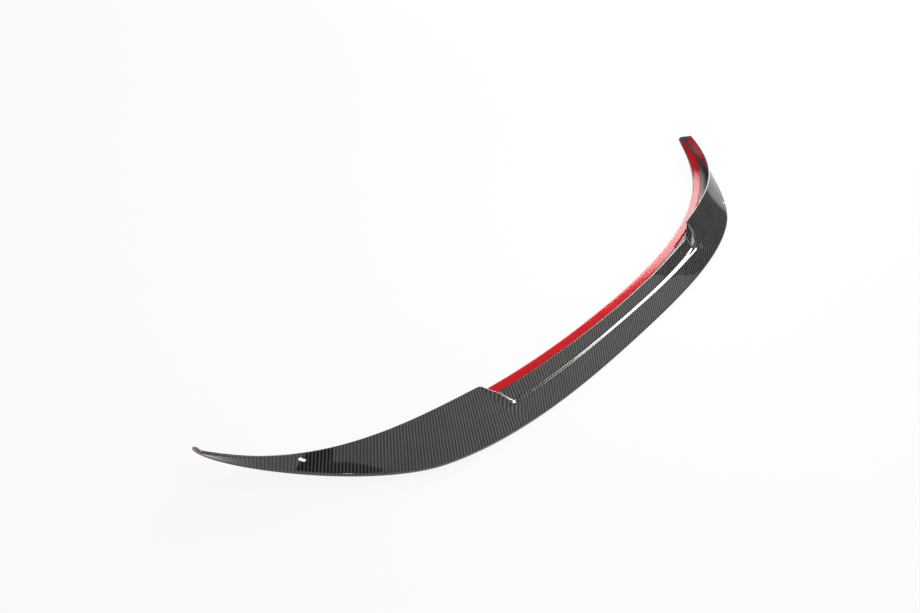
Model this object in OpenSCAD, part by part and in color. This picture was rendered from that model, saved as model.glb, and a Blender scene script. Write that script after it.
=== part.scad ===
// Rear spoiler for a car's boot lid: a thin crescent of woven laminate with a wedge section.
// +X runs along the span, +Y points to the front of the car (the hollow side), and the trailing
// edge faces -Y. The lower wall dips in the two ears, and the part rests on those dips and on the
// middle of its trailing edge. Sizes are in millimetres.

/* [Trailing edge] */
// Half of the width between the two ends of the trailing edge
half_w = 601; // [570:1:640]
// Depth of the crescent, from its tips back to the middle of the trailing edge
sweep = 240; // [215:1:265]
// Half width at the shoulder, where the trailing edge starts to turn forward
shoulder_x = 400; // [370:1:430]
// How far the shoulder lies in front of the middle of the trailing edge
shoulder_y = 40.5; // [32:0.5:50]
// Angle of the trailing edge at the shoulder
shoulder_a = 19.5; // [16:0.5:23]
// Outward lean of the trailing edge before its tip
tip_bulge = 4; // [0:0.5:8]
// Height of the blunt trailing edge in the middle
edge_h_mid = 2.4; // [2:0.1:4]
// Height of the blunt trailing edge at the ears
edge_h_ear = 5.6; // [4:0.1:8]

/* [Lower wall] */
// Width of the lower wall in the middle
wall_w = 67; // [60:1:80]
// Width of the lower wall at its tips
tip_w = 5; // [4.5:0.1:7]
// Angle of the lower wall's front edge at the tips
wall_tip_a = 69.5; // [64:0.5:74]
// Dip of the lower wall's front edge in the ears, below the plane of the trailing edge
wall_dip = 12.5; // [8:0.5:14]

/* [Ears] */
// Half width at the inner corners of the two ears
ear_x = 297; // [285:1:315]
// Distance of the ears' inner corners in front of the middle of the trailing edge
ear_y = 82; // [74:0.5:90]
// Height of the ears' inner corners
ear_h = 26.2; // [22:0.1:30]
// Height of the ears' outer ends, where the raked cut starts
ear_tip_h = 15; // [12:0.1:18]
// How far the ears' outer ends stand out past the trailing edge
ear_lean = 5; // [2:0.5:8]
// Length of the raked cut at each tip, measured front to back
rake = 18; // [14:0.5:24]
// Hollow of the ears' top skin, below a straight line from edge to edge
ear_sag = 1.2; // [0:0.1:3]

/* [Recess] */
// Half width of the recess floor along its back
floor_x = 262; // [245:1:272]
// Half width of the recess floor along its front lip
lip_x = 271; // [262:1:280]
// Distance of the front lip's ends in front of the middle of the trailing edge
lip_end_y = 65; // [61:0.5:69]
// Distance of the front lip's middle in front of the middle of the trailing edge
lip_mid_y = 50; // [47:0.5:55]
// Height of the front lip in the middle
lip_h_mid = 14; // [12.5:0.1:17]
// Height of the front lip at its ends
lip_h_end = 12.6; // [12:0.1:16]
// Width of the blade behind the recess
blade_w = 29; // [25:0.5:30]
// Height of the blade at the back of the recess
blade_h = 11.4; // [10:0.1:13]
// Run of the sloping wall at the back of the recess
back_run = 5; // [3.5:0.5:6]
// Height of the recess floor along its back
floor_h = 8.4; // [7.6:0.1:9.5]
// Distance from an ear's inner corner back to the foot of its side wall, along the span
side_run = 16; // [12:1:20]

/* [Laminate] */
// Thickness of the laminate
skin_t = 2.5; // [2:0.1:3]

/* [Tape] */
// Width of the adhesive foam tape
tape_w = 12; // [8:0.5:12]
// Thickness of the foam tape
tape_t = 1.1; // [0.8:0.1:1.6]
// Thickness of the release liner on the tape
liner_t = 0.2; // [0.1:0.05:0.3]
// Distance of each tape from the laminate's edge
tape_set = 1.5; // [1:0.1:3]
// Clearance between a tape's inner edge and the fold
fold_gap = 0.5; // [0.3:0.1:1]

/* [Hidden] */

// Steps of the loft along half of the recess, across a side wall, along an ear and along a raked cut
recess_steps = 20;
side_steps = 6;
ear_steps = 38;
rake_steps = 4;
// Halvings of each search for the place where a section plane crosses a rail
halvings = 22;

// The tips lie at y = front and the middle of the trailing edge at y = -front
front = sweep / 2;
carbon = [0.16, 0.16, 0.17];
foam = [0.2, 0.2, 0.21];
film = [0.85, 0.12, 0.12];

// Shares of the ear's open skin at the two rows that carry on the blade's and the floor's edges
back_share = [0.5, 0.62];
// Share of a side wall's run that its rounded top and foot each take
side_knee = 0.2;

// Handles of the guide curves, as shares of the sizes that they follow
edge_pulls = [0.37 * shoulder_x, 0.2775 * shoulder_x, 0.25 * shoulder_x, 0.129 * sweep];
wall_pulls = [0.754 * half_w, 0.2146 * sweep];
wall_drops = [0.32 * wall_dip, 2.08 * wall_dip];
lip_pull = 0.332 * lip_x;
ear_pull_in = [0.3906 * ear_x, 0.0586 * ear_x, 0.1832 * ear_h];
ear_pull_out = [-0.1215 * half_w, -0.4292 * sweep, 0.58 * ear_tip_h];

// Counts along the trailing edge: 0 in the middle, shoulder_t at the shoulder and tip_t at the tip.
// The blunt edge is full height at rise_t and thins from fall_t on, and no recess reaches past side_t.
shoulder_t = 1;
tip_t = 2;
rise_t = 0.83;
fall_t = 1.3;
side_t = 1.2;

// Rows of points run along the span. The outer rows are the lower wall's front edge, its tape's two
// edges, the trailing edge's bottom and top, the blade's back edge, the floor's back edge, the upper
// tape's two edges and the leading edge.
wall_rows = [1, 2];
upper_rows = [7, 8];
back_row = 5;
lead_row = 9;

function unit(v) = v / norm(v);
function mix(a, b, f) = a + (b - a) * f;
function smooth(f) = let (g = min(max(f, 0), 1)) g * g * (3 - 2 * g);
function kneed(f) = f > 0.5 ? 1 - kneed(1 - f)
    : f < side_knee ? f * f / (2 * side_knee * (1 - side_knee)) : (f - side_knee / 2) / (1 - side_knee);
function plan(q) = [q.x, q.y];
function bez(p, t) = let (s = 1 - t)
    s * s * s * p[0] + 3 * s * s * t * p[1] + 3 * s * t * t * p[2] + t * t * t * p[3];
function bez_way(p, t) = let (s = 1 - t)
    s * s * (p[1] - p[0]) + 2 * s * t * (p[2] - p[1]) + t * t * (p[3] - p[2]);

// Trailing edge in plan
edge_tip = [half_w, front];
shoulder = [shoulder_x, shoulder_y - front];
shoulder_way = [cos(shoulder_a), sin(shoulder_a)];
edge_in = [[0, -front], [edge_pulls[0], -front], shoulder - edge_pulls[1] * shoulder_way, shoulder];
edge_out = [shoulder, shoulder + edge_pulls[2] * shoulder_way,
            edge_tip + [tip_bulge, -edge_pulls[3]], edge_tip];
function edge(t) = t < shoulder_t ? bez(edge_in, t) : bez(edge_out, t - shoulder_t);
function edge_way(t) = unit(t < shoulder_t ? bez_way(edge_in, t) : bez_way(edge_out, t - shoulder_t));
function edge_h(t) = mix(edge_h_mid, edge_h_ear,
    smooth(t / rise_t) * (1 - smooth((t - fall_t) / (tip_t - fall_t))));
function across(t) = let (w = edge_way(t)) [-w.y, w.x];

// Front edge of the lower wall, from the middle, through its dip, to the tip
wall_mid = [0, wall_w - front, 0];
wall_tip = [half_w - tip_w, front, 0];
wall_curve = [wall_mid, wall_mid + [wall_pulls[0], 0, -wall_drops[0]],
              wall_tip - wall_pulls[1] * [cos(wall_tip_a), sin(wall_tip_a), 0]
              - [0, 0, wall_drops[1]], wall_tip];
wall_rail = function (t) bez(wall_curve, t);

// Leading edge of an ear up to t = 1, and from there the raked cut down to the tip at t = 2
ear_corner = [ear_x, ear_y - front, ear_h];
ear_end = [half_w + ear_lean, front - rake, ear_tip_h];
ear_curve = [ear_corner, ear_corner + ear_pull_in, ear_end + ear_pull_out, ear_end];
tip_top = [half_w, front, edge_h_mid + skin_t];
ear_rail = function (t) t < 1 ? bez(ear_curve, t) : mix(ear_end, tip_top, t - 1);

// Front lip of the recess, from the middle to its end at the foot of the side wall
lip_mid = [0, lip_mid_y - front, lip_h_mid];
lip_end = [lip_x, lip_end_y - front, lip_h_end];
lip_way = [lip_x, 2 * (lip_end_y - lip_mid_y), 0] / lip_x;
lip_curve = [lip_mid, lip_mid + [lip_pull, 0, 0], lip_end - lip_pull * lip_way, lip_end];
lip_rail = function (t) bez(lip_curve, t);

// Where a rail crosses the section plane at p, or runs the length lead ahead of it
function meet(rail, p, way, lead, lo, hi, n = halvings) = let (m = (lo + hi) / 2)
    n == 0 ? m
    : (plan(rail(m)) - p) * way < lead ? meet(rail, p, way, lead, m, hi, n - 1)
    : meet(rail, p, way, lead, lo, m, n - 1);
function lead_of(q, t) = (plan(q) - edge(t)) * edge_way(t);

// Places on the trailing edge: at a half width, and where the section passes through a point
function edge_at(x, lo = 0, hi = side_t, n = halvings) = let (m = (lo + hi) / 2)
    n == 0 ? m : edge(m).x < x ? edge_at(x, m, hi, n - 1) : edge_at(x, lo, m, n - 1);
function edge_facing(q, lo = shoulder_t, hi = tip_t, n = halvings) = let (m = (lo + hi) / 2)
    n == 0 ? m : lead_of(q, m) > 0 ? edge_facing(q, m, hi, n - 1) : edge_facing(q, lo, m, n - 1);
t_floor = edge_at(floor_x + back_run);
t_ear = edge_at(ear_x - side_run);
t_rake = edge_facing(ear_end);
lead_lip = lead_of(lip_end, t_floor);
lead_ear = lead_of(ear_corner, t_ear);

// Lower wall's four points of the section at t, on a straight line down to its front edge
function wall_part(t) = let (p = edge(t), n = across(t),
        q = wall_rail(meet(wall_rail, p, edge_way(t), 0, 0, 1)), d = norm(plan(q) - p),
        in = max(d - tape_set - tape_w, min(skin_t + fold_gap, 0.7 * d)),
        out = max(d - tape_set, (in + d) / 2))
    [for (f = [d, out, in, 0]) [p.x + f * n.x, p.y + f * n.y, q.z * f / d]];

// Upper six points over the recess: blunt edge, blade, back wall, floor and front lip
function recess_part(t) = let (p = edge(t), n = across(t), u = t / t_floor,
        l = lip_rail(meet(lip_rail, p, edge_way(t), lead_lip * u * u, 0, 1)),
        a = p + blade_w * n, b = p + (blade_w + back_run) * n, c = [b.x, b.y, floor_h],
        v = unit(l - c), d = norm(l - c))
    [[p.x, p.y, edge_h(t)], [a.x, a.y, blade_h], c,
     c + v * (d - tape_set - tape_w), c + v * (d - tape_set), l];

// Upper six points over an ear, along a slightly hollow curve from the blunt edge to the lead
function ear_part(t) = let (p = edge(t), u = min((t - t_ear) / (t_rake - t_ear), 1),
        l = ear_rail(meet(ear_rail, p, edge_way(t), lead_ear * pow(1 - u, 3), 0, 2)),
        r = [p.x, p.y, edge_h(t)], d = norm(l - r),
        b = max(d - tape_set - tape_w, 0.35 * d) / d, c = max(d - tape_set, 0.7 * d) / d,
        on = function (f) mix(r, l, f) - [0, 0, 4 * ear_sag * f * (1 - f) * (1 - u)])
    [r, on(b * back_share[0]), on(b * back_share[1]), on(b), on(c), l];

// Upper points of a side wall, from the recess at f = 0 to the ear at f = 1, rounded top and foot
function side_part(f) = let (t = mix(t_floor, t_ear, f), a = recess_part(t_floor), b = ear_part(t_ear),
        p = edge(t))
    [for (j = [0:5]) j == 0 ? [p.x, p.y, edge_h(t)]
        : [mix(a[j].x, b[j].x, f), mix(a[j].y, b[j].y, f), mix(a[j].z, b[j].z, kneed(f))]];

// Right half of the outer surface, one section after another from the middle to the tip
half_outer = concat(
    [for (i = [0:recess_steps]) let (t = t_floor * i / recess_steps) concat(wall_part(t), recess_part(t))],
    [for (i = [1:side_steps - 1]) let (f = i / side_steps)
        concat(wall_part(mix(t_floor, t_ear, f)), side_part(f))],
    [for (i = [0:ear_steps]) let (t = mix(t_ear, t_rake, i / ear_steps)) concat(wall_part(t), ear_part(t))],
    [for (i = [1:rake_steps]) let (t = mix(t_rake, tip_t, i / rake_steps)) concat(wall_part(t), ear_part(t))]);
last = len(half_outer) - 1;
outer = concat([for (i = [last:-1:1]) [for (q = half_outer[i]) [-q.x, q.y, q.z]]], half_outer);

// Outward normal of the outer surface at section i and row j, with rows from the trailing edge's top
function normal(i, j) = let (
        a = outer[max(i - 1, 0)][j], b = outer[min(i + 1, 2 * last)][j],
        c = outer[i][max(j - 1, back_row - 1)], d = outer[i][min(j + 1, lead_row)])
    unit(cross(b - a, d - c));

// Inner surface: the lower wall's upper face, the fold, and the top skin's underside
function inner_part(i) = let (s = outer[i],
        under = [for (j = [back_row:lead_row]) s[j] - skin_t * normal(i, j)],
        f = (under[0].z - skin_t) / (s[back_row].z - s[back_row - 1].z),
        fold = under[0] + f * (s[back_row - 1] - s[back_row]))
    concat([for (j = [0:2]) s[j] + [0, 0, skin_t]], [fold, mix(fold, under[0], 0.15)], under);
inner = [for (i = [0:2 * last]) inner_part(i)];

// Seat of the part: turned about the foot of its trailing edge until the dips touch the ground, and
// centred front to back
seat_a = max([for (s = outer, q = s) if (q.y > -front + skin_t) atan2(-q.z, q.y + front)]);
function turned(q) = let (y = q.y + front)
    [q.x, y * cos(seat_a) - q.z * sin(seat_a) - front, y * sin(seat_a) + q.z * cos(seat_a)];
turned_y = [for (s = outer, q = s) turned(q).y];
centre_y = (min(turned_y) + max(turned_y)) / 2;
function seated(q) = turned(q) - [0, centre_y, 0];

// Strip of the inner surface, raised off it into the hollow
function raised(i, j, h) = inner[i][j] - (j < 4 ? [0, 0, -h] : h * normal(i, j));
function strip(rows, cols, h) = [for (i = rows) [for (j = cols) raised(i, j, h)]];

// Closed solid between two grids of points with the same rows and columns; a is the outer one
module sheet(a, b) {
    m = len(a);
    n = len(a[0]);
    k = m * n;
    points = [for (g = [a, b], s = g, q = s) seated(q)];
    at = function (i, j) i * n + j;
    skins = [for (i = [0:m - 2], j = [0:n - 2])
        let (p = at(i, j), q = at(i + 1, j), r = at(i + 1, j + 1), s = at(i, j + 1))
        each [[p, r, q], [p, s, r], [k + p, k + q, k + r], [k + p, k + r, k + s]]];
    sides = [for (i = [0:m - 2]) let (p = at(i, 0), q = at(i + 1, 0), r = at(i, n - 1), s = at(i + 1, n - 1))
        each [[p, q, k + q], [p, k + q, k + p], [s, r, k + r], [s, k + r, k + s]]];
    ends = [for (j = [0:n - 2]) let (p = at(0, j), q = at(0, j + 1), r = at(m - 1, j), s = at(m - 1, j + 1))
        each [[q, p, k + p], [q, k + p, k + q], [r, s, k + s], [r, k + s, k + r]]];
    polyhedron(points, concat(skins, sides, ends));
}

// Sections that each tape spans
all_rows = [0:2 * last];
recess_rows = [last - recess_steps + 1:last + recess_steps - 1];
right_rows = [last + recess_steps + side_steps + 1:2 * last - rake_steps];
left_rows = [rake_steps:last - recess_steps - side_steps - 1];

module tape(rows, cols) { color(foam) sheet(strip(rows, cols, 0), strip(rows, cols, tape_t)); }
module liner(rows, cols) {
    color(film) sheet(strip(rows, cols, tape_t), strip(rows, cols, tape_t + liner_t));
}

module carbon_shell() { color(carbon) sheet(outer, inner); }
module lower_tape() { tape(all_rows, wall_rows); }
module lower_liner() { liner(all_rows, wall_rows); }
module left_ear_tape() { tape(left_rows, upper_rows); }
module left_ear_liner() { liner(left_rows, upper_rows); }
module right_ear_tape() { tape(right_rows, upper_rows); }
module right_ear_liner() { liner(right_rows, upper_rows); }
module recess_tape() { tape(recess_rows, upper_rows); }
module recess_liner() { liner(recess_rows, upper_rows); }

carbon_shell();
lower_tape();
lower_liner();
left_ear_tape();
left_ear_liner();
right_ear_tape();
right_ear_liner();
recess_tape();
recess_liner();
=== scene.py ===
"""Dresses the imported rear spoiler: a lofted twill laminate, its bonding tapes and a plain studio."""

import math

import bpy
from bpy.props import FloatProperty, FloatVectorProperty, PointerProperty
from mathutils import Matrix, Vector


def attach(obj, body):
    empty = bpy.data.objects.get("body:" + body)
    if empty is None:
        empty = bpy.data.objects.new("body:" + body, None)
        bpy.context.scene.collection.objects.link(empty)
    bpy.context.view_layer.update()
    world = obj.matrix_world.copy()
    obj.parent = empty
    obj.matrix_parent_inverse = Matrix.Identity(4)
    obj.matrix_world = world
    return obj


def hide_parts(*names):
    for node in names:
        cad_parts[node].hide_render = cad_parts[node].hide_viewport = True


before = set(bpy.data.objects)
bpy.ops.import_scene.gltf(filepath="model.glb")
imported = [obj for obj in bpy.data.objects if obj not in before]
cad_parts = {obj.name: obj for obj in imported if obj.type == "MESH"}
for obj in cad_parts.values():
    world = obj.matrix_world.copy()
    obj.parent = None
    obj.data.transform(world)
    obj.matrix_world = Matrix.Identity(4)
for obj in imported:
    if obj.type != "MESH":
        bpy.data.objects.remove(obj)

bl_info = {
    "name": "Rear Spoiler",
    "version": (1, 0, 0),
    "blender": (4, 5, 0),
    "location": "3D View > Sidebar > Spoiler",
    "description": "Builds a crescent boot-lid spoiler in twill laminate, with tapes and a studio",
    "category": "Add Mesh",
}

MM = 0.001
BODY = "root"

# Handles of the guide curves, from the ends of each curve
EDGE_PULLS = (148 * MM, 111 * MM, 100 * MM, 31 * MM)
WALL_PULLS = (453 * MM, 51.5 * MM)
WALL_DROPS = (0.32, 2.08)
LIP_PULL = 90 * MM
EAR_PULL_IN = Vector((116, 17.4, 4.8)) * MM
EAR_PULL_OUT = Vector((-73, -103, 8.7)) * MM

# Shares of an ear's open skin that carry on the blade's and the floor's edges
BACK_SHARE = (0.5, 0.62)
HALVINGS = 24

# The blunt trailing edge's height: how fast it rises from the middle, where it starts to fall, and over what
EDGE_RISE, EDGE_FALL, EDGE_FALL_RUN = 1.2, 1.3, 0.7

# Place along the trailing edge, of 2 at the tip, where the lower tape ends
TAPE_END = 1.95

# Backdrop and ceiling: tones by height of the direction, from the horizon at 0 to straight up at 1
HORIZON_TONE, ZENITH_TONE = 1.0, 0.15
STUDIO_TONES = ((0.16, 1.0), (0.21, 0.06), (0.5, 0.06), (0.6, 0.15))
FLOOR_WHITE = 0.9

# Lamps: name, azimuth, elevation, distance, the point it faces, width, height and radiance
LAMPS = (
    ("key_softbox", 18, 19, 2.6, (0.2, 0, 0), 2.0, 1.3, 12),
    ("fill_softbox", -40, 55, 1.75, (-0.46, -0.59, 0), 3.2, 1.6, 0.58),
    ("side_softbox", -122, 11, 1.5, (-0.44, 0.02, 0.02), 0.08, 0.22, 18),
    ("top_softbox", 90, 90, 0.75, (0.08, -0.02, 0), 0.4, 0.4, 5.5),
)


def length(name, default, about):
    """A size in the panel, given in millimetres and kept in metres."""
    return FloatProperty(name=name, description=about, default=default * MM, unit="LENGTH", precision=5)


def angle(name, default, about):
    """An angle in the panel, given in degrees."""
    return FloatProperty(name=name, description=about, default=math.radians(default), subtype="ANGLE")


def colour(name, default, about):
    """A linear colour in the panel."""
    return FloatVectorProperty(name=name, description=about, default=default, size=3, subtype="COLOR",
                               min=0, max=1)


def amount(name, default, about):
    """A plain number in the panel."""
    return FloatProperty(name=name, description=about, default=default, precision=3)


class SPOILER_PG_outline(bpy.types.PropertyGroup):
    """Sizes of the crescent, its lower wall, its ears and its recess."""

    half_w: length("Half width", 601, "Half of the width between the trailing edge's ends")
    sweep: length("Sweep", 240, "Depth of the crescent from its tips to its middle")
    shoulder_x: length("Shoulder place", 400, "Half width where the trailing edge turns forward")
    shoulder_y: length("Shoulder depth", 40.5, "Distance of the shoulder in front of the middle")
    shoulder_a: angle("Shoulder angle", 19.5, "Angle of the trailing edge at the shoulder")
    tip_bulge: length("Tip bulge", 4, "Outward lean of the trailing edge before its tip")
    edge_h_mid: length("Edge height, middle", 2.4, "Height of the blunt trailing edge in the middle")
    edge_h_ear: length("Edge height, ears", 5.6, "Height of the blunt trailing edge at the ears")
    wall_w: length("Lower wall", 67, "Width of the lower wall in the middle")
    tip_w: length("Lower wall, tips", 5, "Width of the lower wall at its tips")
    wall_tip_a: angle("Lower wall angle", 69.5, "Angle of the lower wall's front edge at the tips")
    wall_dip: length("Lower wall dip", 12.5, "Dip of the lower wall's front edge in the ears")
    ear_x: length("Ear corner place", 297, "Half width at the ears' inner corners")
    ear_y: length("Ear corner depth", 82, "Distance of the ears' inner corners in front of the middle")
    ear_h: length("Ear corner height", 26.2, "Height of the ears' inner corners")
    ear_tip_h: length("Ear end height", 15, "Height of the ears' outer ends")
    ear_lean: length("Ear lean", 5, "How far the ears' outer ends stand out past the trailing edge")
    rake: length("Raked cut", 18, "Length of the raked cut at each tip")
    ear_sag: length("Ear hollow", 1.2, "Hollow of the ears' top skin")
    floor_x: length("Recess floor", 262, "Half width of the recess floor along its back")
    lip_x: length("Lip half width", 271, "Half width of the recess floor along its front lip")
    lip_end_y: length("Lip end depth", 65, "Distance of the lip's ends in front of the middle")
    lip_mid_y: length("Lip middle depth", 50, "Distance of the lip's middle in front of the middle")
    lip_h_mid: length("Lip height, middle", 14, "Height of the front lip in the middle")
    lip_h_end: length("Lip height, ends", 12.6, "Height of the front lip at its ends")
    blade_w: length("Blade width", 29, "Width of the blade behind the recess")
    blade_h: length("Blade height", 11.4, "Height of the blade at the back of the recess")
    back_run: length("Back wall run", 5, "Run of the sloping wall at the back of the recess")
    floor_h: length("Floor height", 8.4, "Height of the recess floor along its back")
    side_run: length("Side wall run", 16, "Run of a side wall from its foot to the ear's corner")


class SPOILER_PG_laminate(bpy.types.PropertyGroup):
    """Thickness, rounding and finish of the moulded laminate."""

    skin_t: length("Thickness", 2.5, "Thickness of the laminate")
    edge_reach: length("Trailing edge rounding", 1.5, "Reach of the rounding at the trailing edge")
    crest_reach: length("Crest rounding", 1.9, "Reach of the rounding along the blade's back edge")
    foot_reach: length("Foot rounding", 2.2, "Reach of the rounding at the foot of the back wall")
    lip_r: length("Lip radius", 1.1, "Outer radius of the recess's front lip")
    rim_r: length("Rim radius", 0.45, "Radius of the laminate's other free edges")
    knee: amount("Side wall knee", 0.2, "Share of a side wall's run that its rounded top and foot take")
    tight: amount("Side wall tightness", 0.35, "Share of its run that a side wall takes to rise at its back")
    tow_w: length("Tow width", 1.4, "Width of one tow of the twill cloth")
    # Painted sheen: the warp's bright tone and the weft's near-black one stand in for how the tows catch the
    # light; the real tows are one black fibre
    warp: colour("Warp colour", (0.137, 0.134, 0.13), "Colour of the tows that run along the car")
    weft_unlit_tone: colour("Weft colour", (0.003, 0.003, 0.003), "Colour of the tows that run across the car")
    coat_rough: amount("Coat roughness", 0.035, "Roughness of the clear coat")
    resin: colour("Resin side", (0.075, 0.077, 0.078), "Colour of the laminate's uncoated inner side")
    cut: colour("Cut edge", (0.2, 0.2, 0.205), "Colour of the laminate's sanded edges")


class SPOILER_PG_tape(bpy.types.PropertyGroup):
    """Sizes and colours of the bonding tape and its release liner."""

    tape_w: length("Tape width", 12, "Width of the foam tape")
    tape_t: length("Foam thickness", 1.1, "Thickness of the foam tape")
    liner_t: length("Liner thickness", 0.2, "Thickness of the release liner")
    tape_set: length("Tape set-back", 1.5, "Distance of each tape from the laminate's edge")
    fold_gap: length("Fold clearance", 0.5, "Clearance between a tape's inner edge and the fold")
    foam: colour("Foam colour", (0.03, 0.03, 0.033), "Colour of the foam")
    film: colour("Liner colour", (0.66, 0.018, 0.022), "Colour of the release liner")


class SPOILER_PG_studio(bpy.types.PropertyGroup):
    """Camera and floor."""

    lens: amount("Focal length", 35.2, "Focal length in millimetres on a 36 mm sensor")
    camera_place: FloatVectorProperty(name="Camera place", description="Where the camera stands",
                                      default=(-1.0288, -0.4099, 0.7729), size=3, unit="LENGTH")
    camera_right: FloatVectorProperty(name="Camera right", description="Direction of the picture's right side",
                                      default=(0.6014, -0.7799, 0.1735), size=3, subtype="DIRECTION")
    camera_back: FloatVectorProperty(name="Camera back", description="Direction from the picture to the eye",
                                     default=(-0.6886, -0.3958, 0.6076), size=3, subtype="DIRECTION")
    floor_size: length("Floor size", 9000, "Side of the square floor")
    floor_colour: colour("Floor colour", (0.86, 0.86, 0.86), "Colour of the floor")


def mix(a, b, f):
    """The value that lies the share f of the way from a to b."""
    return a + (b - a) * f


def smooth(f):
    """A share that starts and ends level."""
    g = min(max(f, 0), 1)
    return g * g * (3 - 2 * g)


def kneed(f, knee):
    """A straight ramp from 0 to 1 whose two ends are rounded over the share knee."""
    if f > 0.5:
        return 1 - kneed(1 - f, knee)
    return f * f / (2 * knee * (1 - knee)) if f < knee else (f - knee / 2) / (1 - knee)


def bezier(points, t):
    """Point of a cubic curve."""
    s = 1 - t
    return (points[0] * s ** 3 + points[1] * 3 * s * s * t + points[2] * 3 * s * t * t + points[3] * t ** 3)


def bezier_way(points, t):
    """Direction of a cubic curve."""
    s = 1 - t
    return ((points[1] - points[0]) * s * s + (points[2] - points[1]) * 2 * s * t
            + (points[3] - points[2]) * t * t)


def halve(test, low, high):
    """The place between low and high where test turns false."""
    for _ in range(HALVINGS):
        middle = (low + high) / 2
        low, high = (middle, high) if test(middle) else (low, middle)
    return (low + high) / 2


def spread(low, high, count):
    """Evenly spaced values from low up to, and without, high."""
    return [mix(low, high, i / count) for i in range(count)]


def rounded(before, corner, after, reach, steps):
    """Points of a rounded corner."""
    a = corner + (before - corner).normalized() * min(reach, (before - corner).length * 0.45)
    c = corner + (after - corner).normalized() * min(reach, (after - corner).length * 0.45)
    return [a * (1 - s) ** 2 + corner * 2 * s * (1 - s) + c * s * s
            for s in (i / steps for i in range(steps + 1))]


class Form:
    """Rails, sections and seat of the laminate, all worked out from the panel's sizes."""

    CORNER_STEPS = 5
    CREST_STEPS = 6
    # Middles of the crest's and the foot's rounding, counted from the trailing edge's foot
    CREST = 2 * (CORNER_STEPS + 1) + 5 + CREST_STEPS // 2
    FOOT = CREST + CREST_STEPS + 2

    def __init__(self, outline, laminate, tape):
        o = self.o = outline
        self.laminate = laminate
        self.tape = tape
        self.skin = laminate.skin_t
        front = self.front = o.sweep / 2
        tip = Vector((o.half_w, front, 0))
        shoulder = Vector((o.shoulder_x, o.shoulder_y - front, 0))
        way = Vector((math.cos(o.shoulder_a), math.sin(o.shoulder_a), 0))
        middle = Vector((0, -front, 0))
        self.edge_in = [middle, middle + Vector((EDGE_PULLS[0], 0, 0)),
                        shoulder - way * EDGE_PULLS[1], shoulder]
        self.edge_out = [shoulder, shoulder + way * EDGE_PULLS[2],
                         tip + Vector((o.tip_bulge, -EDGE_PULLS[3], 0)), tip]
        wall_mid = Vector((0, o.wall_w - front, 0))
        wall_tip = Vector((o.half_w - o.tip_w, front, 0))
        tip_way = Vector((math.cos(o.wall_tip_a), math.sin(o.wall_tip_a), 0))
        self.wall_curve = [wall_mid, wall_mid + Vector((WALL_PULLS[0], 0, -WALL_DROPS[0] * o.wall_dip)),
                           wall_tip - tip_way * WALL_PULLS[1] - Vector((0, 0, WALL_DROPS[1] * o.wall_dip)),
                           wall_tip]
        corner = Vector((o.ear_x, o.ear_y - front, o.ear_h))
        self.ear_end = Vector((o.half_w + o.ear_lean, front - o.rake, o.ear_tip_h))
        self.ear_curve = [corner, corner + EAR_PULL_IN, self.ear_end + EAR_PULL_OUT, self.ear_end]
        self.tip_top = Vector((o.half_w, front, o.edge_h_mid + self.skin))
        lip_mid = Vector((0, o.lip_mid_y - front, o.lip_h_mid))
        lip_end = Vector((o.lip_x, o.lip_end_y - front, o.lip_h_end))
        lip_way = Vector((1, 2 * (o.lip_end_y - o.lip_mid_y) / o.lip_x, 0))
        self.lip_curve = [lip_mid, lip_mid + Vector((LIP_PULL, 0, 0)), lip_end - lip_way * LIP_PULL, lip_end]
        self.t_floor = halve(lambda t: self.edge(t).x < o.floor_x + o.back_run, 0, 1.2)
        self.t_ear = halve(lambda t: self.edge(t).x < o.ear_x - o.side_run, 0, 1.2)
        self.t_rake = halve(lambda t: self.lead_of(self.ear_end, t) > 0, 1, 2)
        self.lead_lip = self.lead_of(lip_end, self.t_floor)
        self.lead_ear = self.lead_of(corner, self.t_ear)

    def edge(self, t):
        """Foot of the trailing edge: t is 0 in the middle, 1 at the shoulder and 2 at the tip."""
        return bezier(self.edge_in, t) if t < 1 else bezier(self.edge_out, t - 1)

    def edge_way(self, t):
        """Direction of the trailing edge."""
        return (bezier_way(self.edge_in, t) if t < 1 else bezier_way(self.edge_out, t - 1)).normalized()

    def across(self, t):
        """Level direction of a section, from the trailing edge to the front."""
        way = self.edge_way(t)
        return Vector((-way.y, way.x, 0))

    def edge_h(self, t):
        """Height of the blunt trailing edge."""
        share = smooth(EDGE_RISE * t) * (1 - smooth((t - EDGE_FALL) / EDGE_FALL_RUN))
        return mix(self.o.edge_h_mid, self.o.edge_h_ear, share)

    def lead_of(self, point, t):
        """How far a point runs ahead of the section at t."""
        return (point - self.edge(t)).dot(self.edge_way(t))

    def meet(self, rail, t, lead, high=1.0):
        """Point where a rail runs the length lead ahead of the section at t."""
        return rail(halve(lambda r: self.lead_of(rail(r), t) < lead, 0.0, high))

    def ear_rail(self, r):
        """Leading edge of an ear up to 1, and from there the raked cut down to the tip at 2."""
        return bezier(self.ear_curve, r) if r < 1 else mix(self.ear_end, self.tip_top, r - 1)

    def wall(self, t):
        """Front edge of the lower wall, and the two edges of its tape, in the section at t."""
        p = self.edge(t)
        q = self.meet(lambda r: bezier(self.wall_curve, r), t, 0)
        d = Vector((q.x - p.x, q.y - p.y)).length
        tape = self.tape
        inner = max(d - tape.tape_set - tape.tape_w, min(self.skin + tape.fold_gap, 0.7 * d))
        outer = max(d - tape.tape_set, (inner + d) / 2)
        return [mix(p, q, f / d) for f in (d, outer, inner)]

    def lower(self, t):
        """Lower wall's outer points in the section at t, without the trailing edge's corner."""
        p = self.edge(t)
        front, outer, inner = self.wall(t)
        return ([mix(front, outer, f) for f in spread(0, 1, 2)] + [mix(outer, inner, f) for f in spread(0, 1, 3)]
                + [mix(inner, p, f) for f in spread(0, 0.9, 4)])

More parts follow.
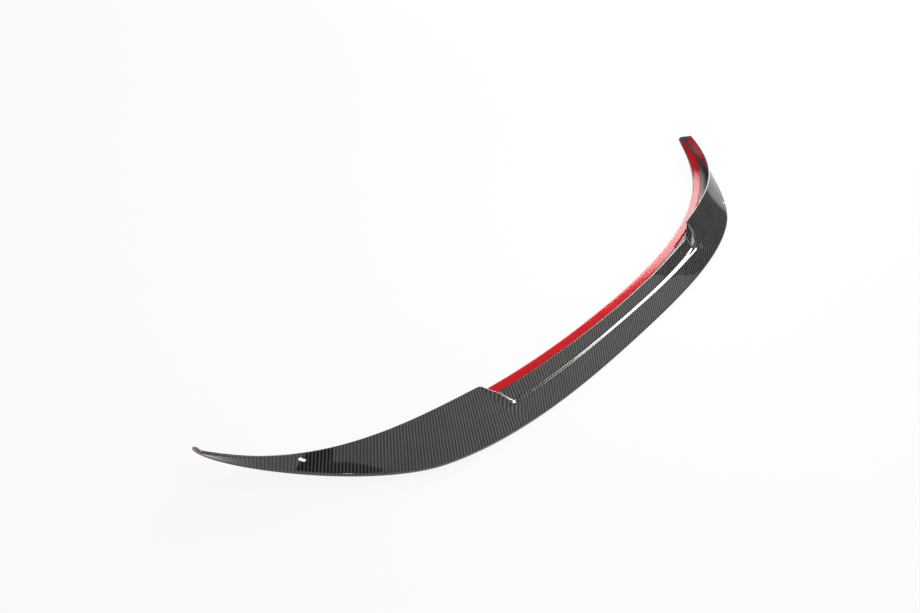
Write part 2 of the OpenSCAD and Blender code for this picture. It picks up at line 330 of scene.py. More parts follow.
    def back(self, t, top, ahead):
        """Rounded corners at the foot and the top of the trailing edge."""
        p = self.edge(t)
        reach = self.laminate.edge_reach
        foot = rounded(self.wall(t)[2], p, top, reach, self.CORNER_STEPS)
        return foot + rounded(p, top, ahead, reach, self.CORNER_STEPS)

    def recess(self, t):
        """Outer points over the recess: blade, back wall, floor and front lip."""
        o, p, n = self.o, self.edge(t), self.across(t)
        up = Vector((0, 0, 1))
        share = t / self.t_floor
        lip = self.meet(lambda r: bezier(self.lip_curve, r), t, self.lead_lip * share * share)
        top = p + up * self.edge_h(t)
        crest = p + n * o.blade_w + up * o.blade_h
        foot = p + n * (o.blade_w + o.back_run) + up * o.floor_h
        way, d = (lip - foot).normalized(), (lip - foot).length
        tape_in = foot + way * (d - self.tape.tape_set - self.tape.tape_w)
        tape_out = foot + way * (d - self.tape.tape_set)
        back = self.back(t, top, crest)
        crest_arc = rounded(top, crest, foot, self.laminate.crest_reach, self.CREST_STEPS)
        foot_arc = rounded(crest, foot, lip, self.laminate.foot_reach, self.CREST_STEPS)
        return (back + [mix(back[-1], crest_arc[0], f) for f in spread(0, 1, 6)[1:]] + crest_arc
                + [mix(crest_arc[-1], foot_arc[0], 0.5)] + foot_arc
                + [mix(foot_arc[-1], tape_in, f) for f in spread(0, 1, 5)[1:]]
                + [mix(tape_in, tape_out, f) for f in spread(0, 1, 4)]
                + [tape_out, mix(tape_out, lip, 0.5), lip])

    def ear(self, t):
        """Outer points over an ear, along a slightly hollow curve from the edge to the lead."""
        o, p = self.o, self.edge(t)
        share = min((t - self.t_ear) / (self.t_rake - self.t_ear), 1)
        lead = self.meet(self.ear_rail, t, self.lead_ear * (1 - share) ** 3, 2.0)
        top = p + Vector((0, 0, self.edge_h(t)))
        d = (lead - top).length
        b = max(d - self.tape.tape_set - self.tape.tape_w, 0.35 * d) / d
        c = max(d - self.tape.tape_set, 0.7 * d) / d

        def on(f):
            return mix(top, lead, f) - Vector((0, 0, 4 * o.ear_sag * f * (1 - f) * (1 - share)))

        back = self.back(t, top, on(b * BACK_SHARE[0]))
        first = (back[-1] - top).length / d
        crest, foot = b * BACK_SHARE[0], b * BACK_SHARE[1]
        w = min(self.laminate.crest_reach / d, (foot - crest) * 0.45)
        places = (spread(first, crest - w, 6)[1:] + [crest + w * (2 * i / self.CREST_STEPS - 1)
                                                     for i in range(self.CREST_STEPS + 1)]
                  + [(crest + foot) / 2] + [foot + w * (2 * i / self.CREST_STEPS - 1)
                                            for i in range(self.CREST_STEPS + 1)]
                  + spread(foot + w, b, 5)[1:] + spread(b, c, 4) + [c, (c + 1) / 2, 1])
        return back + [on(f) for f in places]

    def side(self, f):
        """Outer points of a side wall, from the recess at 0 to the ear at 1."""
        low, high, knee = self.recess(self.t_floor), self.ear(self.t_ear), self.laminate.knee
        crest, foot = self.CREST, self.FOOT
        reach, made = (low[-1] - low[foot]).length, []
        for j, (a, b) in enumerate(zip(low, high)):
            if j <= foot:
                share = mix(1, self.laminate.tight, smooth((j - crest) / (foot - crest)))
            else:
                share = mix(self.laminate.tight, 1, (a - low[foot]).length / reach)
            g = kneed(min(f / share, 1), knee)
            made.append(Vector((mix(a.x, b.x, f), mix(a.y, b.y, f), mix(a.z, b.z, g))))
        return made

    def half_sections(self, recess_steps=90, side_steps=36, ear_steps=120, rake_steps=14):
        """Sections of the right half as (t, outer points), from the middle to the tip."""
        made = [(t, self.recess(t)) for t in spread(0, self.t_floor, recess_steps)]
        for f in spread(0, 1, side_steps):
            made.append((mix(self.t_floor, self.t_ear, f), self.side(f)))
        made += [(t, self.ear(t)) for t in spread(self.t_ear, self.t_rake, ear_steps)]
        made += [(t, self.ear(t)) for t in spread(self.t_rake, 2, rake_steps)] + [(2, self.ear(2))]
        return [(t, self.lower(t) + upper) for t, upper in made]


# Columns of a section's outer points: the lower wall, the corner at the trailing edge's foot,
# the blade from its top corner, the crest's arc, and the two edges of the upper tape
LOWER_COUNT = 9
TAPE_LOW = (2, 5)
FOOT_CORNER = LOWER_COUNT + Form.CORNER_STEPS // 2
TOP_CORNER = LOWER_COUNT + Form.CORNER_STEPS + 1 + Form.CORNER_STEPS
CREST_START = TOP_CORNER + 6
FLOOR_START = CREST_START + 2 * (Form.CREST_STEPS + 1) + 1
TAPE_HIGH = (FLOOR_START + 4, FLOOR_START + 8)


class Loft:
    """Both skins of the whole laminate as rows of points, one row for each section."""

    def __init__(self, form):
        self.form = form
        half = form.half_sections()
        rest = half[:0:-1]
        self.ts = [t for t, _ in rest] + [t for t, _ in half]
        self.sides = [-1] * len(rest) + [1] * len(half)
        self.outer = [[Vector((-q.x, q.y, q.z)) for q in s] for _, s in rest] + [s for _, s in half]
        self.inner = [self.inner_row(i) for i in range(len(self.outer))]
        self.seat()

    def foot(self, i):
        """Foot of the trailing edge, and the level way to the front, in section i."""
        p, n = self.form.edge(self.ts[i]), self.form.across(self.ts[i])
        return Vector((p.x * self.sides[i], p.y, 0)), Vector((n.x * self.sides[i], n.y, 0))

    def normal(self, i, j):
        """Outward normal of the outer skin."""
        rows = self.outer
        along = rows[min(i + 1, len(rows) - 1)][j] - rows[max(i - 1, 0)][j]
        back = max(j - 1, TOP_CORNER)
        ahead = min(j + 1, len(rows[i]) - 1)
        return along.cross(rows[i][ahead] - rows[i][back]).normalized()

    def inner_row(self, i):
        """Inner skin of section i: the lower wall's top face, the fold, and the upper skin's underside."""
        row, skin = self.outer[i], self.form.skin
        p, n = self.foot(i)
        lower = [q + Vector((0, 0, skin)) for q in row[:TAPE_LOW[1] + 1]]
        upper = [row[j] - self.normal(i, j) * skin for j in range(CREST_START, len(row))]
        d = (row[0] - p).dot(n)
        slope = row[0].z / d
        way = row[TOP_CORNER] - row[CREST_START]
        q = upper[0]
        run = (skin + slope * (q - p).dot(n) - q.z) / (way.z - slope * way.dot(n))
        fold = q + way * run
        arc = rounded(lower[-1], fold, q, skin, 4)
        return lower + arc + upper

    def seat(self):
        """Turns the laminate about the foot of its trailing edge until its dips touch the ground."""
        front = self.form.front
        turn = max(math.atan2(-q.z, q.y + front) for row in self.outer for q in row if q.y > MM - front)
        pivot = Matrix.Translation((0, -front, 0))
        turned = pivot @ Matrix.Rotation(turn, 4, "X") @ pivot.inverted()
        depths = [(turned @ q).y for row in self.outer for q in row]
        self.seated = Matrix.Translation((0, -(min(depths) + max(depths)) / 2, 0)) @ turned


RIM_STEPS = 4
RIM_COUNT = 2 * (RIM_STEPS + 1)


def rim(last, before, other, outer_r, inner_r):
    """Points of a laminate's free edge, with two round corners, from its outer to its inner face."""
    ahead = (last - before).normalized()
    down = other - last
    deep = down.length
    down = down / deep
    a, b = min(outer_r, deep * 0.6), min(inner_r, deep * 0.3)
    turns = [math.pi / 2 * i / RIM_STEPS for i in range(RIM_STEPS + 1)]
    first = last + (down - ahead) * a
    second = last + down * (deep - b) - ahead * b
    return ([first + ahead * a * math.sin(t) - down * a * math.cos(t) for t in turns]
            + [second + ahead * b * math.cos(t) + down * b * math.sin(t) for t in turns])


def grid_mesh(name, rows, closed, uvs=None):
    """A mesh through rows of points. With closed, each row is a ring and both ends are capped."""
    count = len(rows[0])
    faces = []
    last = count if closed else count - 1
    for i in range(len(rows) - 1):
        for j in range(last):
            k = (j + 1) % count
            faces.append((i * count + j, (i + 1) * count + j, (i + 1) * count + k, i * count + k))
    if closed:
        faces.append(tuple(range(count)))
        faces.append(tuple(reversed(range((len(rows) - 1) * count, len(rows) * count))))
    mesh = bpy.data.meshes.new(name)
    mesh.from_pydata([q for row in rows for q in row], [], faces)
    if uvs:
        layer = mesh.uv_layers.new(name="weave")
        for face in mesh.polygons:
            for corner in face.loop_indices:
                layer.data[corner].uv = uvs(face, mesh.loops[corner].vertex_index)
    mesh.update()
    return mesh


def link(name, mesh):
    """A new object for a mesh, in the scene."""
    piece = bpy.data.objects.new(name, mesh)
    bpy.context.scene.collection.objects.link(piece)
    return piece


class Nodes:
    """Shorthand for a tree of nodes."""

    def __init__(self, tree):
        self.tree = tree

    def add(self, kind, sockets=None, **settings):
        """A node with its settings, and a value or a link for each named or numbered socket."""
        node = self.tree.nodes.new(kind)
        for key, value in settings.items():
            setattr(node, key, value)
        for key, value in (sockets or {}).items():
            socket = node.inputs[key]
            if isinstance(value, bpy.types.NodeSocket):
                self.tree.links.new(value, socket)
            else:
                socket.default_value = value
        return node

    def math(self, operation, *values):
        """Output of a Math node."""
        return self.add("ShaderNodeMath", dict(enumerate(values)), operation=operation).outputs[0]


def blend_colour(nodes, factor, a, b):
    """Mix of two colours, through the colour sockets of a Mix node."""
    node = nodes.tree.nodes.new("ShaderNodeMix")
    node.data_type = "RGBA"
    for index, value in ((0, factor), (6, a), (7, b)):
        if isinstance(value, bpy.types.NodeSocket):
            nodes.tree.links.new(value, node.inputs[index])
        else:
            node.inputs[index].default_value = value
    return node.outputs[2]


def new_material(name):
    """An empty material with its Principled shader."""
    material = bpy.data.materials.new(name)
    material.use_nodes = True
    material.node_tree.nodes.clear()
    nodes = Nodes(material.node_tree)
    shader = nodes.add("ShaderNodeBsdfPrincipled")
    nodes.add("ShaderNodeOutputMaterial", {"Surface": shader.outputs[0]})
    return material, nodes, shader


def twill_group():
    """Two-over-two twill: which tow lies on top, how high it stands and how far along its float."""
    group = bpy.data.node_groups.new("Twill weave", "ShaderNodeTree")
    for name, kind in (("Cloth", "NodeSocketVector"), ("Tow width", "NodeSocketFloat")):
        group.interface.new_socket(name, in_out="INPUT", socket_type=kind)
    for name in ("Warp on top", "Height", "Along"):
        group.interface.new_socket(name, in_out="OUTPUT", socket_type="NodeSocketFloat")
    nodes = Nodes(group)
    inputs = nodes.add("NodeGroupInput").outputs
    split = nodes.add("ShaderNodeSeparateXYZ", {0: inputs["Cloth"]}).outputs
    u = nodes.math("DIVIDE", split["X"], inputs["Tow width"])
    v = nodes.math("DIVIDE", split["Y"], inputs["Tow width"])
    step = nodes.math("SUBTRACT", nodes.math("FLOOR", u), nodes.math("FLOOR", v))
    phase = nodes.math("FLOORED_MODULO", step, 4.0)
    warp = nodes.math("LESS_THAN", phase, 1.5)
    fu, fv = nodes.math("FRACT", u), nodes.math("FRACT", v)
    warp_along = nodes.math("MULTIPLY", nodes.math("ADD", nodes.math("SUBTRACT", 1.0, phase), fv), 0.5)
    weft_along = nodes.math("MULTIPLY", nodes.math("ADD", nodes.math("SUBTRACT", phase, 2.0), fu), 0.5)
    pick = nodes.add("ShaderNodeMix", {0: warp, 2: weft_along, 3: warp_along}, data_type="FLOAT").outputs[0]
    side = nodes.add("ShaderNodeMix", {0: warp, 2: fv, 3: fu}, data_type="FLOAT").outputs[0]
    crown = nodes.math("SINE", nodes.math("MULTIPLY", pick, math.pi))
    arch = nodes.math("SINE", nodes.math("MULTIPLY", side, math.pi))
    round_side = nodes.math("SQRT", nodes.math("MAXIMUM", arch, 0.0))
    height = nodes.math("MULTIPLY", round_side, nodes.math("MULTIPLY_ADD", crown, 0.6, 0.4))
    nodes.add("NodeGroupOutput", {"Warp on top": warp, "Height": height, "Along": pick})
    return group


def carbon_material(laminate):
    """Twill cloth under a clear coat, with a faint unevenness from tow to tow, painted sheen on the warp tows
    and painted shade along the tows' edges.
    """
    material, nodes, shader = new_material("twill_laminate")
    cloth = nodes.add("ShaderNodeUVMap", uv_map="weave").outputs["UV"]
    weave = nodes.add("ShaderNodeGroup", node_tree=twill_group())
    nodes.tree.links.new(cloth, weave.inputs["Cloth"])
    weave.inputs["Tow width"].default_value = laminate.tow_w
    warp, height = weave.outputs["Warp on top"], weave.outputs["Height"]
    wander = nodes.add("ShaderNodeTexNoise", {"Vector": cloth, "Scale": 26.0, "Detail": 2.0}).outputs[0]
    fibre_map = nodes.add("ShaderNodeMapping", {"Vector": cloth, "Scale": (4200.0, 240.0, 1.0)})
    fibre = nodes.add("ShaderNodeTexNoise",
                      {"Vector": fibre_map.outputs[0], "Scale": 1.0, "Detail": 1.0}).outputs[0]
    # Painted sheen: warp tows on top take the bright warp tone, weft tows the near-black one
    tone = blend_colour(nodes, warp, (*laminate.weft_unlit_tone, 1), (*laminate.warp, 1))
    # Painted shade: each tow is darkened towards its edges and float ends by its height
    shade = nodes.math("MULTIPLY_ADD", height, 0.65, 0.35)
    shade = nodes.math("MULTIPLY", shade, nodes.math("MULTIPLY_ADD", wander, 0.5, 0.75))
    shade = nodes.math("MULTIPLY", shade, nodes.math("MULTIPLY_ADD", fibre, 0.5, 0.75))
    sheen_and_shade_colour = nodes.add("ShaderNodeVectorMath", {0: tone, "Scale": shade}, operation="SCALE").outputs[0]
    nodes.tree.links.new(sheen_and_shade_colour, shader.inputs["Base Color"])
    shader.inputs["Metallic"].default_value = 0.0
    shader.inputs["Roughness"].default_value = 0.5
    shader.inputs["Specular IOR Level"].default_value = 0.0
    shader.inputs["Coat Weight"].default_value = 1.0
    shader.inputs["Coat Roughness"].default_value = laminate.coat_rough
    shader.inputs["Coat IOR"].default_value = 1.6
    bump = nodes.add("ShaderNodeBump", {"Height": height, "Strength": 0.4, "Distance": 0.0002})
    nodes.tree.links.new(bump.outputs[0], shader.inputs["Normal"])
    ripple = nodes.add("ShaderNodeTexNoise", {"Vector": cloth, "Scale": 40.0, "Detail": 1.0}).outputs[0]
    coat_bump = nodes.add("ShaderNodeBump", {"Height": ripple, "Strength": 0.06, "Distance": 0.0004})
    nodes.tree.links.new(coat_bump.outputs[0], shader.inputs["Coat Normal"])
    return material


def resin_material(laminate):
    """Uncoated inner side of the laminate: a matt resin face in which the cloth just shows."""
    material, nodes, shader = new_material("resin_side")
    cloth = nodes.add("ShaderNodeUVMap", uv_map="weave").outputs["UV"]
    weave = nodes.add("ShaderNodeGroup", node_tree=bpy.data.node_groups["Twill weave"])
    nodes.tree.links.new(cloth, weave.inputs["Cloth"])
    weave.inputs["Tow width"].default_value = laminate.tow_w
    cloud = nodes.add("ShaderNodeTexNoise", {"Vector": cloth, "Scale": 90.0, "Detail": 4.0}).outputs[0]
    shade = nodes.math("MULTIPLY_ADD", weave.outputs["Warp on top"], 0.12, 0.72)
    shade = nodes.math("ADD", shade, nodes.math("MULTIPLY", cloud, 0.4))
    tone = nodes.add("ShaderNodeVectorMath", {0: tuple(laminate.resin), "Scale": shade}, operation="SCALE")
    nodes.tree.links.new(tone.outputs[0], shader.inputs["Base Color"])
    shader.inputs["Roughness"].default_value = 0.4
    bump = nodes.add("ShaderNodeBump", {"Height": weave.outputs["Height"], "Strength": 0.25, "Distance": 0.0001})
    nodes.tree.links.new(bump.outputs[0], shader.inputs["Normal"])
    return material


def cut_material(laminate):
    """Sanded edge of the laminate, with fine scratches."""
    material, nodes, shader = new_material("sanded_edge")
    place = nodes.add("ShaderNodeTexCoord").outputs["Object"]
    grain = nodes.add("ShaderNodeTexNoise", {"Vector": place, "Scale": 900.0, "Detail": 2.0}).outputs[0]
    shade = nodes.math("MULTIPLY_ADD", grain, 0.6, 0.7)
    tone = nodes.add("ShaderNodeVectorMath", {0: tuple(laminate.cut), "Scale": shade}, operation="SCALE")
    nodes.tree.links.new(tone.outputs[0], shader.inputs["Base Color"])
    shader.inputs["Roughness"].default_value = 0.45
    return material


def foam_material(tape):
    """Matt closed-cell foam with fine pores."""
    material, nodes, shader = new_material("acrylic_foam")
    place = nodes.add("ShaderNodeTexCoord").outputs["Object"]
    pores = nodes.add("ShaderNodeTexVoronoi", {"Vector": place, "Scale": 2600.0}).outputs["Distance"]
    grain = nodes.add("ShaderNodeTexNoise", {"Vector": place, "Scale": 700.0, "Detail": 3.0}).outputs[0]
    tone = blend_colour(nodes, grain, (*[c * 0.7 for c in tape.foam], 1), (*[c * 1.5 for c in tape.foam], 1))
    nodes.tree.links.new(tone, shader.inputs["Base Color"])
    shader.inputs["Roughness"].default_value = 0.85
    bump = nodes.add("ShaderNodeBump", {"Height": pores, "Strength": 0.5, "Distance": 0.0002})
    nodes.tree.links.new(bump.outputs[0], shader.inputs["Normal"])
    return material


def film_material(tape):
    """Smooth red film that lies slightly uneven on the foam."""
    material, nodes, shader = new_material("release_film")
    place = nodes.add("ShaderNodeTexCoord").outputs["Object"]
    cloud = nodes.add("ShaderNodeTexNoise", {"Vector": place, "Scale": 60.0, "Detail": 3.0}).outputs[0]
    tone = blend_colour(nodes, cloud, (*[c * 0.8 for c in tape.film], 1),
                        (*[min(c * 1.15, 1) for c in tape.film], 1))
    nodes.tree.links.new(tone, shader.inputs["Base Color"])
    rough = nodes.math("MULTIPLY_ADD", cloud, 0.1, 0.08)
    nodes.tree.links.new(rough, shader.inputs["Roughness"])
    shader.inputs["Specular IOR Level"].default_value = 0.08
    waves = nodes.add("ShaderNodeTexNoise", {"Vector": place, "Scale": 130.0, "Detail": 2.0}).outputs[0]
    bump = nodes.add("ShaderNodeBump", {"Height": waves, "Strength": 0.25, "Distance": 0.0004})
    nodes.tree.links.new(bump.outputs[0], shader.inputs["Normal"])
    return material


def layer_tree(name, material):
    """Geometry nodes that turn an open strip into a closed layer lifted off its carrier."""
    tree = bpy.data.node_groups.new(name, "GeometryNodeTree")
    tree.interface.new_socket("Strip", in_out="INPUT", socket_type="NodeSocketGeometry")
    for label, default in (("Lift", 0.0), ("Thickness", 0.001)):
        socket = tree.interface.new_socket(label, in_out="INPUT", socket_type="NodeSocketFloat")
        socket.subtype = "DISTANCE"
        socket.default_value = default
    tree.interface.new_socket("Layer", in_out="OUTPUT", socket_type="NodeSocketGeometry")
    nodes = Nodes(tree)
    inputs = nodes.add("NodeGroupInput").outputs
    facing = nodes.add("GeometryNodeInputNormal").outputs[0]
    rise = nodes.add("ShaderNodeVectorMath", {0: facing, "Scale": inputs["Lift"]}, operation="SCALE").outputs[0]
    lifted = nodes.add("GeometryNodeSetPosition", {"Geometry": inputs["Strip"], "Offset": rise}).outputs[0]
    body = nodes.add("GeometryNodeExtrudeMesh", {"Mesh": lifted, "Offset Scale": inputs["Thickness"],
                                                 "Individual": False}).outputs["Mesh"]
    under = nodes.add("GeometryNodeFlipFaces", {"Mesh": lifted}).outputs[0]
    both = nodes.add("GeometryNodeJoinGeometry")
    tree.links.new(body, both.inputs[0])
    tree.links.new(under, both.inputs[0])
    closed = nodes.add("GeometryNodeMergeByDistance", {"Geometry": both.outputs[0], "Distance": 1e-6}).outputs[0]
    real = nodes.add("GeometryNodeRealizeInstances", {"Geometry": closed}).outputs[0]
    painted = nodes.add("GeometryNodeSetMaterial", {"Geometry": real, "Material": material}).outputs[0]
    nodes.add("NodeGroupOutput", {"Layer": painted})
    return tree


def made_by_nodes(name, mesh, tree, values, bevel):
    """A plain mesh from a strip, a tree and its named inputs, with its long edges softened."""
    source = link(name, mesh)
    modifier = source.modifiers.new("Layer", "NODES")
    modifier.node_group = tree
    for item in tree.interface.items_tree:
        if item.in_out == "INPUT" and item.name in values:
            modifier[item.identifier] = values[item.name]
    soften = source.modifiers.new("Soften", "BEVEL")
    soften.width = bevel
    soften.segments = 2
    soften.limit_method = "ANGLE"
    soften.angle_limit = math.radians(50)
    graph = bpy.context.evaluated_depsgraph_get()
    solid = bpy.data.meshes.new_from_object(source.evaluated_get(graph), preserve_all_data_layers=True,
                                            depsgraph=graph)
    bpy.data.objects.remove(source)
    bpy.data.meshes.remove(mesh)
    solid.name = name
    return link(name, solid)


def seat_piece(piece, matrix):
    """Puts the seat into a piece's mesh, so that its object stays at the origin."""
    piece.data.transform(matrix)
    piece.data.update()


def shaded(piece, limit=35):
    """Smooth shading, with a crease where faces meet at more than the limit in degrees."""
    piece.data.shade_smooth()
    piece.data.set_sharp_from_angle(angle=math.radians(limit))


def build_loft(scene):
    """The laminate's two skins from the sizes in the panel."""
    return Loft(Form(scene.spoiler_outline, scene.spoiler_laminate, scene.spoiler_tape))


class SPOILER_OT_shell(bpy.types.Operator):
    """Build the moulded laminate as one closed skin with rounded edges"""

    bl_idname = "spoiler.shell"
    bl_label = "Carbon shell"

    def execute(self, context):
        laminate = context.scene.spoiler_laminate
        loft = build_loft(context.scene)
        rows, cloth = [], []
        for i, (out, inn) in enumerate(zip(loft.outer, loft.inner)):
            lower_rim = rim(out[0], out[1], inn[0], laminate.rim_r, laminate.rim_r)
            beside = smooth((loft.ts[i] - loft.form.t_floor) / (loft.form.t_ear - loft.form.t_floor))
            lip_r = mix(laminate.lip_r, laminate.rim_r, beside)
            upper_rim = rim(out[-1], out[-2], inn[-1], lip_r, laminate.rim_r)
            ring = lower_rim[::-1] + out[1:-1] + upper_rim + inn[-2:0:-1]
            rows.append(ring)
            cloth.append(self.cloth_row(loft, i, out, inn))
        count = len(rows[0])
        seam = RIM_COUNT + FOOT_CORNER - 1

        def uv(face, vertex):
            i, j = divmod(vertex, count)
            columns = [v % count for v in face.vertices]
            return cloth[i][j][0 if max(columns) <= seam else 1]

        mesh = grid_mesh("carbon_skin", rows, True, uv)
        shell = link("carbon_skin", mesh)
        for material in (carbon_material(laminate), resin_material(laminate), cut_material(laminate)):
            mesh.materials.append(material)
        upper = RIM_COUNT + len(loft.outer[0]) - 2
        for face in mesh.polygons:
            columns = [v % count for v in face.vertices]
            first = count - 1 if max(columns) - min(columns) == count - 1 else min(columns)
            if len(columns) > 4 or first <= RIM_STEPS or upper + RIM_STEPS <= first < upper + RIM_COUNT - 1:
                face.material_index = 2
            elif first >= upper + RIM_COUNT - 1:
                face.material_index = 1
        seat_piece(shell, loft.seated)
        shaded(shell, 50)
        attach(shell, BODY)
        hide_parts("carbon_shell")
        return {"FINISHED"}

    @staticmethod
    def cloth_row(loft, i, out, inn):
        """Place of each ring point on the flat cloth, for the lower wall and for the upper skin."""
        p, n = loft.foot(i)
        arc = [0.0]
        for a, b in zip(out[TOP_CORNER:], out[TOP_CORNER + 1:]):
            arc.append(arc[-1] + (b - a).length)

        def level(q):
            return (q - p).dot(n)

        def at(s):
            return (p.x + n.x * s, p.y + n.y * s)

        def upper(j):
            return arc[j - TOP_CORNER] if j >= TOP_CORNER else -(out[TOP_CORNER] - out[j]).length

        front = level(out[0])
        ring = [(at(front), at(front))] * RIM_COUNT
        ring += [(at(level(out[j])), at(upper(j))) for j in range(1, len(out) - 1)]
        ring += [(at(arc[-1]), at(arc[-1]))] * RIM_COUNT
        ahead = len(inn) - (len(out) - CREST_START)
        for j in range(len(inn) - 2, 0, -1):
            s = upper(j - ahead + CREST_START) if j >= ahead else level(inn[j])
            ring.append((at(s), at(s)))
        return ring


class SPOILER_OT_tapes(bpy.types.Operator):
    """Lay the foam tapes and their red liners on the laminate's inner faces"""

    bl_idname = "spoiler.tapes"
    bl_label = "Tapes and liners"

    def execute(self, context):
        tape = context.scene.spoiler_tape
        loft = build_loft(context.scene)
        form = loft.form
        foam = layer_tree("Foam tape", foam_material(tape))
        film = layer_tree("Release liner", film_material(tape))
        ahead = len(loft.inner[0]) - (len(loft.outer[0]) - CREST_START) - CREST_START
        high = [j + ahead for j in TAPE_HIGH]
        ear = [i for i, t in enumerate(loft.ts) if form.t_ear < t <= form.t_rake]
        strips = {
            "lower": ([i for i, t in enumerate(loft.ts) if t < TAPE_END], TAPE_LOW),
            "left_ear": ([i for i in ear if loft.sides[i] < 0], high),
            "right_ear": ([i for i in ear if loft.sides[i] > 0], high),
            "recess": ([i for i, t in enumerate(loft.ts) if t < form.t_floor * 0.95], high),
        }
        for name, (sections, columns) in strips.items():
            for part, tree, values, bevel in (
                    ("tape", foam, {"Lift": 0.0, "Thickness": tape.tape_t}, 0.12 * MM),
                    ("liner", film, {"Lift": tape.tape_t, "Thickness": tape.liner_t}, 0.05 * MM)):
                strip = self.strip(loft, sections, columns)
                piece = made_by_nodes(f"{name}_{part}_skin", strip, tree, values, bevel)
                seat_piece(piece, loft.seated)
                shaded(piece)
                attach(piece, BODY)
                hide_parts(f"{name}_{part}")
        return {"FINISHED"}

    @staticmethod
    def strip(loft, sections, columns):
        """An open strip of the inner skin that faces into the hollow."""
        rows = [loft.inner[i][columns[0]:columns[1] + 1] for i in sections]
        mesh = grid_mesh("strip", rows, False)
        mesh.flip_normals()
        return mesh


def world_light(context):
    """A white backdrop all round the horizon and a dimmer ceiling, the same for every ray."""
    world = bpy.data.worlds.new("studio")
    context.scene.world = world
    world.use_nodes = True
    world.node_tree.nodes.clear()
    nodes = Nodes(world.node_tree)
    way = nodes.add("ShaderNodeTexCoord").outputs["Generated"]
    height = nodes.add("ShaderNodeSeparateXYZ", {0: way}).outputs["Z"]
    ramp = nodes.add("ShaderNodeValToRGB", {0: height})
    stops = ramp.color_ramp.elements
    for stop, tone in ((stops[0], HORIZON_TONE), (stops[-1], ZENITH_TONE)):
        stop.color = (tone, tone, tone, 1)
    for place, tone in STUDIO_TONES:
        stops.new(place).color = (tone, tone, tone, 1)
    light = nodes.add("ShaderNodeBackground", {"Color": ramp.outputs[0], "Strength": 1.0})
    nodes.add("ShaderNodeOutputWorld", {"Surface": light.outputs[0]})


def floor_material(studio):
    """A pale floor that looks white to the eye and keeps a soft shadow."""
    material, nodes, shader = new_material("pale_floor")
    shader.inputs["Base Color"].default_value = (*studio.floor_colour, 1)
    shader.inputs["Roughness"].default_value = 0.9
    white = nodes.add("ShaderNodeEmission", {"Color": (1, 1, 1, 1), "Strength": 1.0}).outputs[0]
    path = nodes.add("ShaderNodeLightPath").outputs
    mirrored = nodes.math("MAXIMUM", path["Is Glossy Ray"], path["Is Transmission Ray"])
    share = nodes.math("MULTIPLY", nodes.math("MAXIMUM", path["Is Camera Ray"], mirrored), FLOOR_WHITE)
    both = nodes.add("ShaderNodeMixShader", {0: share, 1: shader.outputs[0], 2: white})
    output = next(n for n in nodes.tree.nodes if n.type == "OUTPUT_MATERIAL")
    nodes.tree.links.new(both.outputs[0], output.inputs["Surface"])
    return material


def softbox(name, azimuth, elevation, distance, target, width, height, radiance):
    """A soft rectangular lamp that faces a point, from a direction in degrees."""
    az, el = math.radians(azimuth), math.radians(elevation)
    way = Vector((math.cos(az) * math.cos(el), math.sin(az) * math.cos(el), math.sin(el)))
    lamp = bpy.data.lights.new(name, "AREA")
    lamp.shape = "RECTANGLE"
    lamp.size, lamp.size_y = width, height
    lamp.energy = radiance * math.pi * width * height
    holder = bpy.data.objects.new(name, lamp)
    side = Vector((-math.sin(az), math.cos(az), 0))
    turn = Matrix((side, way.cross(side), way)).transposed().to_4x4()
    holder.matrix_world = Matrix.Translation(Vector(target) + way * distance) @ turn
    holder.visible_camera = False
    bpy.context.scene.collection.objects.link(holder)
    return holder


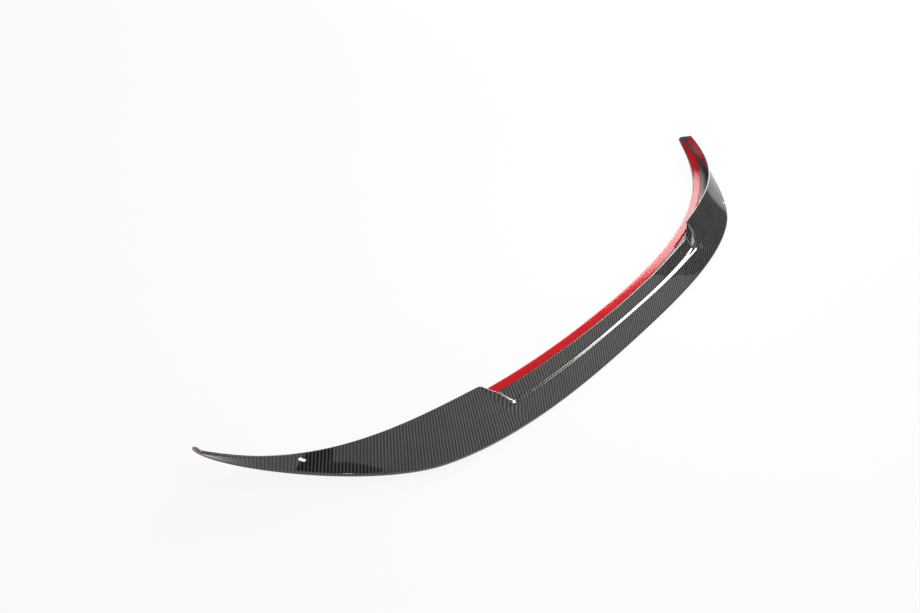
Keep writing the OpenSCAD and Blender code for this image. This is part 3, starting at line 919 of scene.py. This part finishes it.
class SPOILER_OT_stage(bpy.types.Operator):
    """Set up the floor, the soft light and the camera"""

    bl_idname = "spoiler.stage"
    bl_label = "Studio"

    def execute(self, context):
        studio = context.scene.spoiler_studio
        half = studio.floor_size / 2
        corners = [Vector((x, y, 0)) for x, y in ((-half, -half), (half, -half), (half, half), (-half, half))]
        mesh = bpy.data.meshes.new("studio_floor")
        mesh.from_pydata(corners, [], [(0, 1, 2, 3)])
        floor = link("studio_floor", mesh)
        mesh.materials.append(floor_material(studio))
        world_light(context)
        for lamp in LAMPS:
            softbox(*lamp)
        camera = bpy.data.cameras.new("camera")
        camera.lens = studio.lens
        camera.sensor_width = 36
        camera.dof.use_dof = False
        holder = bpy.data.objects.new("camera", camera)
        right, back = Vector(studio.camera_right), Vector(studio.camera_back)
        up = back.cross(right)
        turn = Matrix((right, up, back)).transposed().to_4x4()
        holder.matrix_world = Matrix.Translation(studio.camera_place) @ turn
        context.scene.collection.objects.link(holder)
        context.scene.camera = holder
        context.scene.view_settings.view_transform = "Standard"
        return {"FINISHED"}


class SPOILER_PT_panel(bpy.types.Panel):
    """Sizes, finishes and steps of the spoiler"""

    bl_idname = "SPOILER_PT_panel"
    bl_label = "Rear spoiler"
    bl_space_type = "VIEW_3D"
    bl_region_type = "UI"
    bl_category = "Spoiler"

    def draw(self, context):
        for title, group in (("Outline", context.scene.spoiler_outline),
                             ("Laminate", context.scene.spoiler_laminate),
                             ("Tape", context.scene.spoiler_tape), ("Studio", context.scene.spoiler_studio)):
            box = self.layout.box()
            box.label(text=title)
            for name in group.__annotations__:
                box.prop(group, name)
        for operator in OPERATORS:
            self.layout.operator(operator.bl_idname)


GROUPS = {"spoiler_outline": SPOILER_PG_outline, "spoiler_laminate": SPOILER_PG_laminate,
          "spoiler_tape": SPOILER_PG_tape, "spoiler_studio": SPOILER_PG_studio}
OPERATORS = (SPOILER_OT_shell, SPOILER_OT_tapes, SPOILER_OT_stage)


def register():
    """Adds the classes and the scene's groups of sizes."""
    for one in (*GROUPS.values(), *OPERATORS, SPOILER_PT_panel):
        bpy.utils.register_class(one)
    for name, group in GROUPS.items():
        setattr(bpy.types.Scene, name, PointerProperty(type=group))


def unregister():
    """Takes the groups and the classes away again."""
    for name in GROUPS:
        delattr(bpy.types.Scene, name)
    for one in (SPOILER_PT_panel, *OPERATORS[::-1], *GROUPS.values()):
        bpy.utils.unregister_class(one)


def corners(bounds):
    """Box corners as plain lists."""
    return [list(point) for point in bounds]


def main():
    """Builds the spoiler and its studio."""
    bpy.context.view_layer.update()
    register()
    bpy.ops.spoiler.shell()
    bpy.ops.spoiler.tapes()
    bpy.ops.spoiler.stage()


if __name__ == "__main__":
    main()
